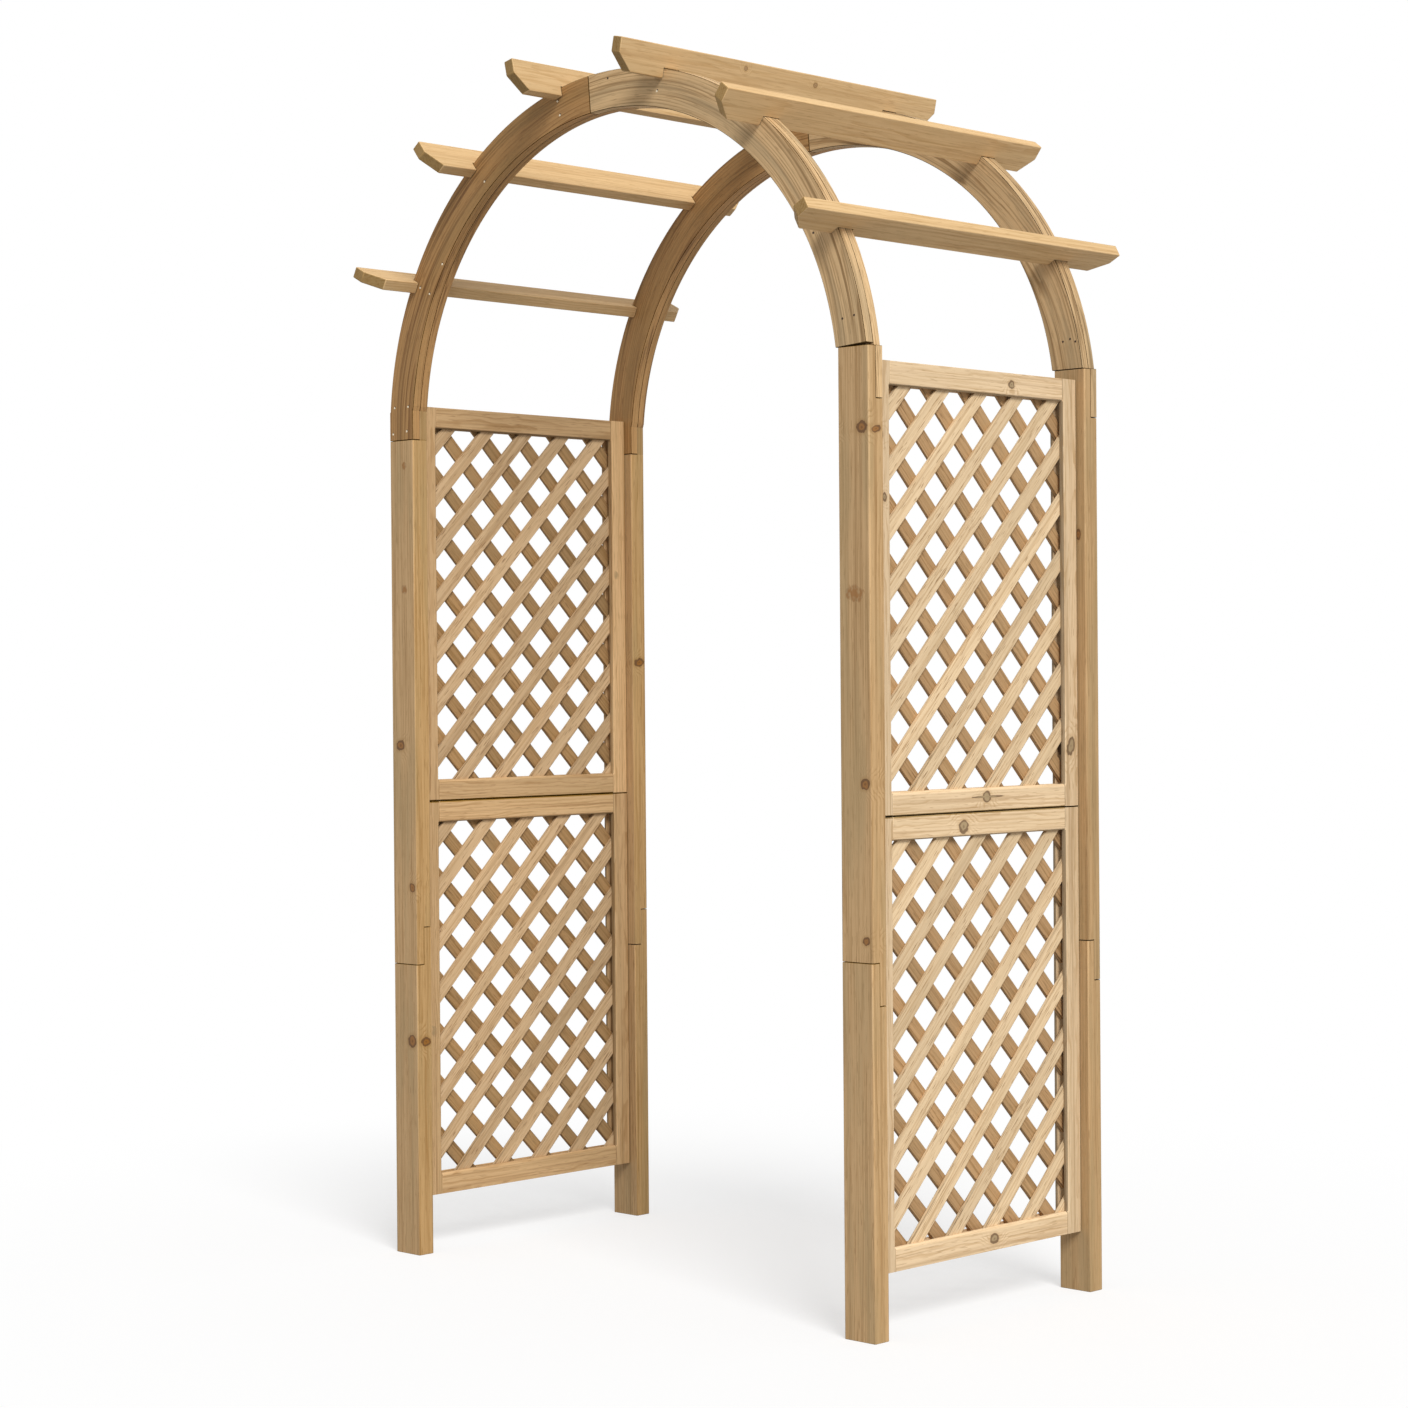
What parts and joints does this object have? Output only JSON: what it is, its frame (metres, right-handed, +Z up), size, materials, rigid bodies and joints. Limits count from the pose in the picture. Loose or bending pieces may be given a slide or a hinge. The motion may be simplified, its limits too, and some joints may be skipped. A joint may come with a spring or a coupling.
{
  "type": "garden arch",
  "caption": "Round-top wooden garden arch: half-lapped posts and laminated arches joined by notched rails on top and framed lattice panels at the sides, to walk through and train plants on.",
  "frame": {"origin": "on the ground, under the middle of the arch", "axes": "+X across the walkway to the right as seen from the front, +Y from the front frame to the rear frame, +Z up"},
  "size_m": [1.37, 0.94, 2.4724],
  "materials": {
    "frame_boards": "planed, pressure-treated softwood",
    "rails": "planed, pressure-treated softwood",
    "panel_frames": "planed, pressure-treated softwood",
    "slats": "planed, pressure-treated softwood"
  },
  "bodies": {
    "root": {"front_left_aft_curve": "frame_boards", "front_left_fore_curve": "frame_boards", "front_left_lower_post": "frame_boards", "front_left_upper_post": "frame_boards", "front_right_aft_curve": "frame_boards", "front_right_fore_curve": "frame_boards", "front_right_lower_post": "frame_boards", "front_right_upper_post": "frame_boards", "left_lower_panel_bottom_rail": "panel_frames", "left_lower_panel_falling_slats": "slats", "left_lower_panel_front_stile": "panel_frames", "left_lower_panel_rear_stile": "panel_frames", "left_lower_panel_rising_slats": "slats", "left_lower_panel_top_rail": "panel_frames", "left_upper_panel_bottom_rail": "panel_frames", "left_upper_panel_falling_slats": "slats", "left_upper_panel_front_stile": "panel_frames", "left_upper_panel_rear_stile": "panel_frames", "left_upper_panel_rising_slats": "slats", "left_upper_panel_top_rail": "panel_frames", "rail_left_low": "rails", "rail_left_mid": "rails", "rail_left_top": "rails", "rail_right_low": "rails", "rail_right_mid": "rails", "rail_right_top": "rails", "rear_left_aft_curve": "frame_boards", "rear_left_fore_curve": "frame_boards", "rear_left_lower_post": "frame_boards", "rear_left_upper_post": "frame_boards", "rear_right_aft_curve": "frame_boards", "rear_right_fore_curve": "frame_boards", "rear_right_lower_post": "frame_boards", "rear_right_upper_post": "frame_boards", "right_lower_panel_bottom_rail": "panel_frames", "right_lower_panel_falling_slats": "slats", "right_lower_panel_front_stile": "panel_frames", "right_lower_panel_rear_stile": "panel_frames", "right_lower_panel_rising_slats": "slats", "right_lower_panel_top_rail": "panel_frames", "right_upper_panel_bottom_rail": "panel_frames", "right_upper_panel_falling_slats": "slats", "right_upper_panel_front_stile": "panel_frames", "right_upper_panel_rear_stile": "panel_frames", "right_upper_panel_rising_slats": "slats", "right_upper_panel_top_rail": "panel_frames"}
  },
  "joints": []
}
